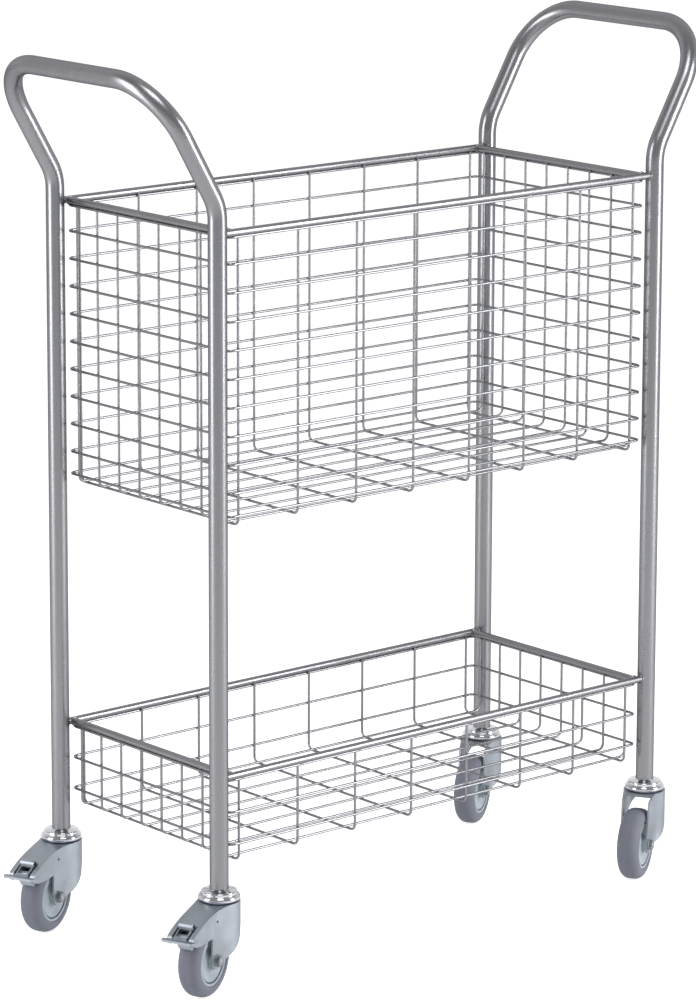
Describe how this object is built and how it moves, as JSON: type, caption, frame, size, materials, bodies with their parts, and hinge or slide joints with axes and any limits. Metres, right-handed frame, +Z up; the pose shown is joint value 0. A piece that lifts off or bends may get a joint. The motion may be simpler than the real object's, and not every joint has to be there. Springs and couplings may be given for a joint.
{
  "type": "wire basket mail cart",
  "caption": "Tubular steel mail cart with a deep upper and a shallow lower wire basket, leaning handle bars at both ends, swivel castors and foot brakes at one end",
  "frame": {"origin": "centre of the plan box at floor level, under the wheels; the castors stand turned, so the basket's own middle lies 3.5 mm toward +X and 18.6 mm toward +Y of it", "axes": "+Z up; X along the long side, the braked castors at -X; Y across the cart"},
  "size_m": [1.0131, 0.4462, 1.2286],
  "materials": {
    "silver_coat": "silver powder coat, satin, fine texture",
    "zinc_plate": "zinc plated pressed steel, semi-bright, slightly blue",
    "bright_chrome": "bright chrome plate",
    "bearing_steel": "bare spring and bearing steel",
    "grey_rubber": "mid grey non-marking rubber, matt",
    "wheel_plastic": "pale blue-grey moulded plastic, satin",
    "dark_plastic": "dark moulded plastic, matt"
  },
  "bodies": {
    "frame": {"end_frame_left": "silver_coat", "end_frame_right": "silver_coat", "upper_long_rods": "silver_coat", "upper_short_rods": "silver_coat", "lower_long_rods": "silver_coat", "lower_short_rods": "silver_coat", "upper_ring_wires": "silver_coat", "upper_cross_wires": "silver_coat", "upper_long_wires": "silver_coat", "lower_ring_wires": "silver_coat", "lower_cross_wires": "silver_coat", "lower_long_wires": "silver_coat", "tube_inserts": "dark_plastic", "castor_stems": "zinc_plate", "castor_caps": "bright_chrome"},
    "swivel_fl": {"fork_fl": "zinc_plate", "balls_fl": "bearing_steel", "axle_bolt_fl": "zinc_plate", "axle_nut_fl": "bearing_steel", "axle_bush_fl": "zinc_plate", "brake_pin_fl": "zinc_plate", "brake_spring_fl": "bearing_steel"},
    "wheel_fl": {"wheel_centre_fl": "wheel_plastic", "wheel_covers_fl": "wheel_plastic", "tyre_fl": "grey_rubber"},
    "brake_fl": {"brake_pedal_fl": "zinc_plate"},
    "swivel_bl": {"fork_bl": "zinc_plate", "balls_bl": "bearing_steel", "axle_bolt_bl": "zinc_plate", "axle_nut_bl": "bearing_steel", "axle_bush_bl": "zinc_plate", "brake_pin_bl": "zinc_plate", "brake_spring_bl": "bearing_steel"},
    "wheel_bl": {"wheel_centre_bl": "wheel_plastic", "wheel_covers_bl": "wheel_plastic", "tyre_bl": "grey_rubber"},
    "brake_bl": {"brake_pedal_bl": "zinc_plate"},
    "swivel_fr": {"fork_fr": "zinc_plate", "balls_fr": "bearing_steel", "axle_bolt_fr": "zinc_plate", "axle_nut_fr": "bearing_steel", "axle_bush_fr": "zinc_plate"},
    "wheel_fr": {"wheel_centre_fr": "wheel_plastic", "wheel_covers_fr": "wheel_plastic", "tyre_fr": "grey_rubber"},
    "swivel_br": {"fork_br": "zinc_plate", "balls_br": "bearing_steel", "axle_bolt_br": "zinc_plate", "axle_nut_br": "bearing_steel", "axle_bush_br": "zinc_plate"},
    "wheel_br": {"wheel_centre_br": "wheel_plastic", "wheel_covers_br": "wheel_plastic", "tyre_br": "grey_rubber"}
  },
  "joints": [
    {"name": "swivel_fl", "type": "hinge", "parent": "frame", "child": "swivel_fl", "pos_m": [-0.38945, -0.15585, 0.12], "axis": [0, 0, 1], "continuous": true},
    {"name": "roll_fl", "type": "hinge", "parent": "swivel_fl", "child": "wheel_fl", "pos_m": [-0.4295, -0.17285, 0.0508], "axis": [0.3907, -0.9205, 0], "continuous": true},
    {"name": "brake_fl", "type": "hinge", "parent": "swivel_fl", "child": "brake_fl", "pos_m": [-0.47874, -0.19375, 0.094], "axis": [0.3907, -0.9205, 0], "range_deg": [0, 17]},
    {"name": "swivel_bl", "type": "hinge", "parent": "frame", "child": "swivel_bl", "pos_m": [-0.38945, 0.19315, 0.12], "axis": [0, 0, 1], "continuous": true},
    {"name": "roll_bl", "type": "hinge", "parent": "swivel_bl", "child": "wheel_bl", "pos_m": [-0.4295, 0.17615, 0.0508], "axis": [0.3907, -0.9205, 0], "continuous": true},
    {"name": "brake_bl", "type": "hinge", "parent": "swivel_bl", "child": "brake_bl", "pos_m": [-0.47874, 0.15525, 0.094], "axis": [0.3907, -0.9205, 0], "range_deg": [0, 17]},
    {"name": "swivel_fr", "type": "hinge", "parent": "frame", "child": "swivel_fr", "pos_m": [0.39655, -0.15585, 0.12], "axis": [0, 0, 1], "continuous": true},
    {"name": "roll_fr", "type": "hinge", "parent": "swivel_fr", "child": "wheel_fr", "pos_m": [0.35887, -0.1776, 0.0508], "axis": [0.5, -0.866, 0], "continuous": true},
    {"name": "swivel_br", "type": "hinge", "parent": "frame", "child": "swivel_br", "pos_m": [0.39655, 0.19315, 0.12], "axis": [0, 0, 1], "continuous": true},
    {"name": "roll_br", "type": "hinge", "parent": "swivel_br", "child": "wheel_br", "pos_m": [0.35887, 0.1714, 0.0508], "axis": [0.5, -0.866, 0], "continuous": true}
  ]
}
